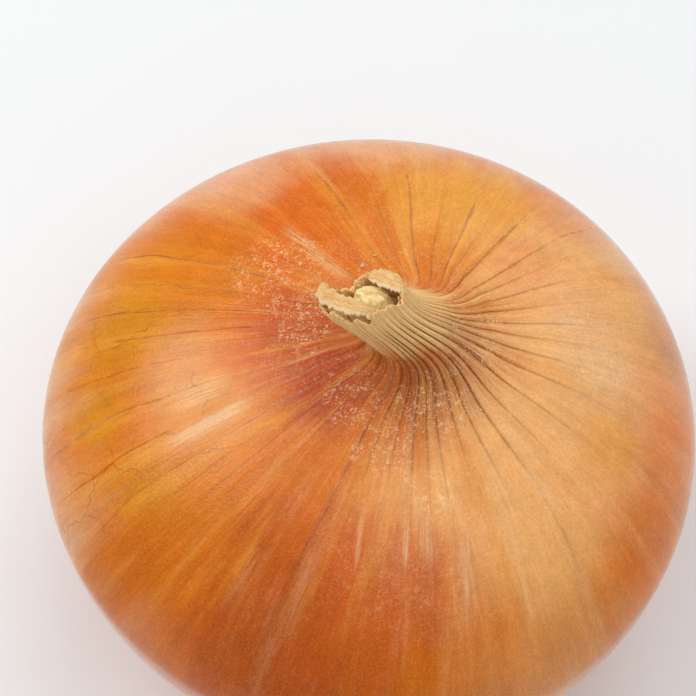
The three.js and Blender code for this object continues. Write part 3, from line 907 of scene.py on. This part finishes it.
    # Partly painted shade: the grooves between the pleats are darkened towards crease brown, which is partly the dry
    # skin's own darker colour.
    crease = p.times(p.slope(crease_mm, 0.27, 0.05), grooves, p.slope(fibre, 0.22, 0.45))
    crease = p.times(crease, p.maths("MULTIPLY_ADD", p.slope(from_rim, 26, 14), 0.6, 0.38))
    colour = p.mix(crease, colour, CREASE)
    ridge = p.times(p.slope(crease_mm, 0.3, 0.5), ridges, p.slope(fibre, 0.35, 0.6))
    colour = p.mix(p.times(ridge, 0.75), colour, PALE)

    # Fine dark furrows and light threads between the pleats at the neck's foot.
    thread = p.noise(p.steps(way, (62, 62, 0.16)), 2, 0.6)
    foot = p.times(p.slope(from_rim, 6, 11), p.slope(from_rim, 24, 14), grooves)
    colour = p.mix(p.times(p.slope(thread, 0.5, 0.64), foot, 0.62), colour, CREASE)
    colour = p.mix(p.times(p.slope(thread, 0.44, 0.32), foot, 0.55), colour, TAN)

    # Pale dust and specks near the neck, and fine grain everywhere.
    on_right = p.times(p.slope(x, -15, 5), p.slope(z, 50, 56), 0.3)
    dust = p.maths("MAXIMUM", p.times(p.slope(from_rim, 34, 16), 0.35), on_right)
    for centre, reach in DUST:
        near = p.slope(p.maths("ADD", p.apart(place, centre), p.times(stray, 0.4)), reach, reach * 0.4)
        dust = p.maths("MAXIMUM", dust, near)
    patch = p.slope(p.noise(p.steps(place, (0.5, 0.5, 0.5)), 2, 0.6), 0.34, 0.56)
    speck = p.times(p.slope(p.noise(p.steps(place, (3.4, 3.4, 3.4)), 2, 0.7), 0.56, 0.66), dust, patch)
    colour = p.mix(p.times(speck, 0.68), colour, CREAM)
    smear = p.times(p.slope(p.noise(p.steps(place, (1.3, 1.3, 1.3)), 4, 0.8), 0.54, 0.63), dust, patch)
    colour = p.mix(p.times(smear, 0.55), colour, CREAM)
    speckle = p.noise(p.steps(place, (4.5, 4.5, 4.5)), 1, 0.5)
    colour = p.gain(colour, p.maths("MULTIPLY_ADD", grain, 0.3, 0.85))
    colour = p.gain(colour, p.maths("MULTIPLY_ADD", speckle, 0.28, 0.86))
    colour = p.mix(p.times(p.slope(speckle, 0.5, 0.72), 0.07), colour, CREAM)
    hairs = p.noise(p.steps(way, (110, 110, 0.5)), 2, 0.6)
    colour = p.gain(colour, p.maths("MULTIPLY_ADD", hairs, 0.32, 0.85))

    relief = p.maths("ADD", p.times(streak, 0.5), p.times(fibre, 0.35))
    relief = p.maths("ADD", relief, p.times(grain, 0.5))
    relief = p.maths("ADD", relief, p.times(line, 0.5))
    rough = p.maths("MULTIPLY_ADD", streak, 0.2, 0.14)
    rough = p.maths("ADD", rough, p.times(dry, 0.2))
    rough = p.maths("ADD", rough, p.times(p.slope(from_rim, 30, 16), 0.35), clamp=True)
    normal = p.bump(relief, 0.14, 0.6)
    return p.finish(
        Base_Color=colour, Roughness=rough, Normal=normal, Specular_IOR_Level=0.29, Sheen_Weight=0.4,
        Sheen_Roughness=0.25,
    )


def dry_material(name, light, dark, shadow, along, roughness=0.75, torn=False):
    """Dried, fibrous plant matter: two shades in fibres, and painted shade in its hollows. On a torn sheet the fibres
    run along it.
    """
    p = Painter(name)
    place = p.stored("way", "Vector") if torn else p.place()
    fibre = p.noise(p.steps(place, along), 3, 0.6)
    cloud = p.noise(p.steps(place, (0.6, 0.6, 0.6)), 2, 0.5)
    colour = p.mix(p.slope(fibre, 0.32, 0.68), dark, light)
    colour = p.mix(p.times(p.slope(cloud, 0.55, 0.75), 0.45), colour, shadow)
    # Painted shade in the hollows, where the surface curves inward.
    pointed = p.node("ShaderNodeNewGeometry").outputs["Pointiness"]
    colour = p.mix(p.times(p.slope(pointed, 0.49, 0.42), 0.6), colour, shadow)
    if torn:
        tatter = p.noise(p.steps(place, (1.1, 6.5, 0.0)), 3, 0.7)
        colour = p.mix(p.times(p.slope(tatter, 0.56, 0.68), 0.5), colour, shadow)
        # The free edge is paler: partly the thin skin's own colour and partly a painted highlight.
        colour = p.mix(p.times(p.slope(p.parts(place)[2], 0.8, 0.1), 0.5), colour, EDGE_PALE_AND_HIGHLIGHT)
    normal = p.bump(fibre, 0.15, 0.6)
    return p.finish(Base_Color=colour, Roughness=roughness, Normal=normal)


def floor_material():
    p = Painter("pale_table")
    place = p.place()
    mottle = p.noise(p.steps(place, (0.02, 0.02, 0.02)), 2, 0.5)
    colour = p.mix(mottle, TABLE_COOL, TABLE_PALE)
    return p.finish(Base_Color=colour, Roughness=0.8, Specular_IOR_Level=0.2)


# The pieces.

def dress(obj, material, slot, *nodes):
    obj.data.materials.clear()
    obj.data.materials.append(material)
    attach(obj, "root")
    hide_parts(*nodes)
    return obj


skin_paint = skin_material()
torn_paint = dry_material("torn_skin", TORN_LIGHT, TORN_DARK, BROWN, (0.5, 5.0, 1.0), torn=True)
leaf_paint = dry_material("inner_leaf", LEAF_LIGHT, LEAF_DARK, BROWN, (1.6, 1.6, 1.6))
root_paint = dry_material("dry_root", ROOT_LIGHT, ROOT_DARK, ROOT_SHADOW, (1.8, 1.8, 1.8), roughness=0.9)
crumb_paint = dry_material("skin_crumb", CRUMB_LIGHT, CRUMB_DARK, CRUMB_SHADOW, (2, 2, 2))

dress(skin_object(), skin_paint, "skin", "bulb")
for name, rings, material, slot, node in (
    ("torn_strap", strap_rings(), torn_paint, "skin", "bulb"),
    ("curled_flap", flap_rings(), torn_paint, "skin", "bulb"),
    ("collar_lining", lining_rings(), torn_paint, "skin", "bulb"),
    ("inner_leaves", core_rings(), leaf_paint, "inner_leaf", "neck_core"),
):
    looped = name == "collar_lining"
    points, faces = closed_tube(rings, looped=looped)
    obj = mesh_object(name, points + SHIFT, faces)
    if material is torn_paint:
        give(obj, "way", torn_ways(rings, looped), "FLOAT_VECTOR")
    dress(obj, material, slot, node)
points, faces = joined([plate_rings()] + [root_rings(k) for k in range(ROOT_COUNT)])
dress(mesh_object("dry_roots", points + SHIFT, faces), root_paint, "root", "root_tuft")
points, faces = joined(crumb_parts())
dress(mesh_object("skin_crumbs", points + SHIFT, faces), crumb_paint, "skin", "bulb")


# The table, the light and the camera.

FLOOR_SIDE = 4.0
half = FLOOR_SIDE / 2 / MM
floor = mesh_object("table", [(-half, -half, 0), (half, -half, 0), (half, half, 0), (-half, half, 0)], [(0, 1, 2, 3)])
floor.data.materials.append(floor_material())


LIGHT_AIM_HEIGHT = 0.04
WORLD_STRENGTH = 0.34
WHITE = (1.0, 1.0, 1.0, 1.0)


def soft_light(name, azimuth, elevation, distance, size, power):
    """A square soft light that faces the onion."""
    az, el = math.radians(azimuth), math.radians(elevation)
    towards = Vector((math.cos(az) * math.cos(el), math.sin(az) * math.cos(el), math.sin(el)))
    data = bpy.data.lights.new(name, "AREA")
    data.size = size
    data.energy = power
    light = bpy.data.objects.new(name, data)
    light.location = towards * distance + Vector((0, 0, LIGHT_AIM_HEIGHT))
    light.rotation_euler = towards.to_track_quat("Z", "Y").to_euler()
    bpy.context.scene.collection.objects.link(light)
    return light


soft_light("window", 155, 50, 0.9, 0.5, 3.25)
soft_light("ceiling", -50, 76, 1.0, 0.8, 2.7)
soft_light("far_window", 66, 42, 1.1, 0.7, 2.6)
soft_light("front", -80, 26, 1.0, 0.8, 0.45).visible_glossy = False

world = bpy.data.worlds.new("studio")
world.use_nodes = True
world.node_tree.nodes["Background"].inputs["Color"].default_value = WHITE
world.node_tree.nodes["Background"].inputs["Strength"].default_value = WORLD_STRENGTH
bpy.context.scene.world = world
bpy.context.scene.view_settings.view_transform = "Standard"

# The camera looks down on the bulb's widest height. Its aim is a little to the side and up, in the same unit as FOCAL,
# the focal length in the photograph's pixels.
CAMERA_ELEVATION = math.radians(65)
CAMERA_DISTANCE = 0.32
LENS = 119.43
SENSOR_WIDTH = 36
FOCAL = 2308.9
AIM_SIDE, AIM_UP = 21.9, 79.1

level = Vector((0, math.cos(CAMERA_ELEVATION), -math.sin(CAMERA_ELEVATION)))
overhead = Vector((0, math.sin(CAMERA_ELEVATION), math.cos(CAMERA_ELEVATION)))
forward = (level - Vector((1, 0, 0)) * (AIM_SIDE / FOCAL) + overhead * (AIM_UP / FOCAL)).normalized()
right = forward.cross(Vector((0, 0, 1))).normalized()
above = right.cross(forward)
camera_data = bpy.data.cameras.new("camera")
camera_data.lens = LENS
camera_data.sensor_width = SENSOR_WIDTH
camera_data.clip_start = 0.01
camera = bpy.data.objects.new("camera", camera_data)
turned = Matrix((right, above, -forward)).transposed().to_4x4()
camera.matrix_world = Matrix.Translation(Vector((0, 0, EQUATOR * MM)) - level * CAMERA_DISTANCE) @ turned
bpy.context.scene.collection.objects.link(camera)
bpy.context.scene.camera = camera
